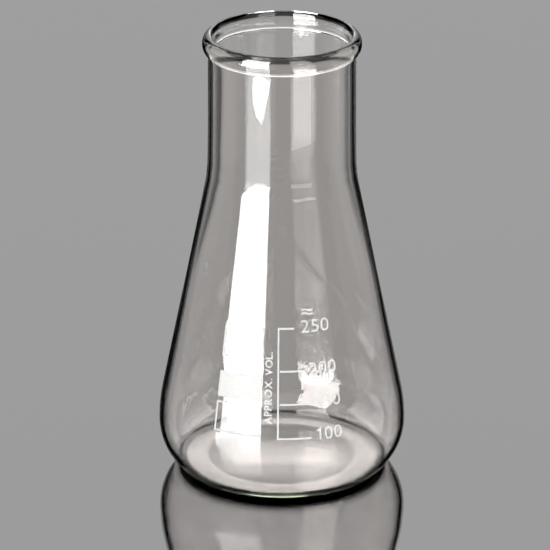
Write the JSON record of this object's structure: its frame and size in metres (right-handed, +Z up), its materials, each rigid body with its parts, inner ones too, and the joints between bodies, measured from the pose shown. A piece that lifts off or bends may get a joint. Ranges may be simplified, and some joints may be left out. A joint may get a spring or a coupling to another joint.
{
  "type": "conical laboratory flask",
  "caption": "Wide-neck conical laboratory flask in clear glass, rolled rim, flat base, white fired-enamel volume scale and marking patch.",
  "frame": {"origin": "centre of the base, on the plane that the flask stands on", "axes": "+Z up along the flask's axis, from base to mouth; the printed scale faces -Y"},
  "size_m": [0.085, 0.085, 0.156],
  "materials": {
    "glass": "clear blown borosilicate glass, fire-polished rim, faintly grey-green through its edges",
    "enamel": "white fired enamel print, satin gloss, thin and slightly uneven"
  },
  "bodies": {
    "root": {"about_sign_lower": "enamel", "about_sign_upper": "enamel", "capacity_1_3": "enamel", "capacity_2_0": "enamel", "capacity_3_0": "enamel", "capacity_4_m": "enamel", "capacity_5_l": "enamel", "digit_100_hundreds": "enamel", "digit_100_tens": "enamel", "digit_100_units": "enamel", "digit_150_hundreds": "enamel", "digit_150_tens": "enamel", "digit_150_units": "enamel", "digit_200_hundreds": "enamel", "digit_200_tens": "enamel", "digit_200_units": "enamel", "digit_250_hundreds": "enamel", "digit_250_tens": "enamel", "digit_250_units": "enamel", "glass_body": "glass", "legend_10_L": "enamel", "legend_11_stop": "enamel", "legend_1_A": "enamel", "legend_2_P": "enamel", "legend_3_P": "enamel", "legend_4_R": "enamel", "legend_5_O": "enamel", "legend_6_X": "enamel", "legend_7_stop": "enamel", "legend_8_V": "enamel", "legend_9_O": "enamel", "lower_frame": "enamel", "mark_150": "enamel", "mark_200": "enamel", "scale_bracket": "enamel", "upper_frame": "enamel", "writing_patch": "enamel"}
  },
  "joints": []
}
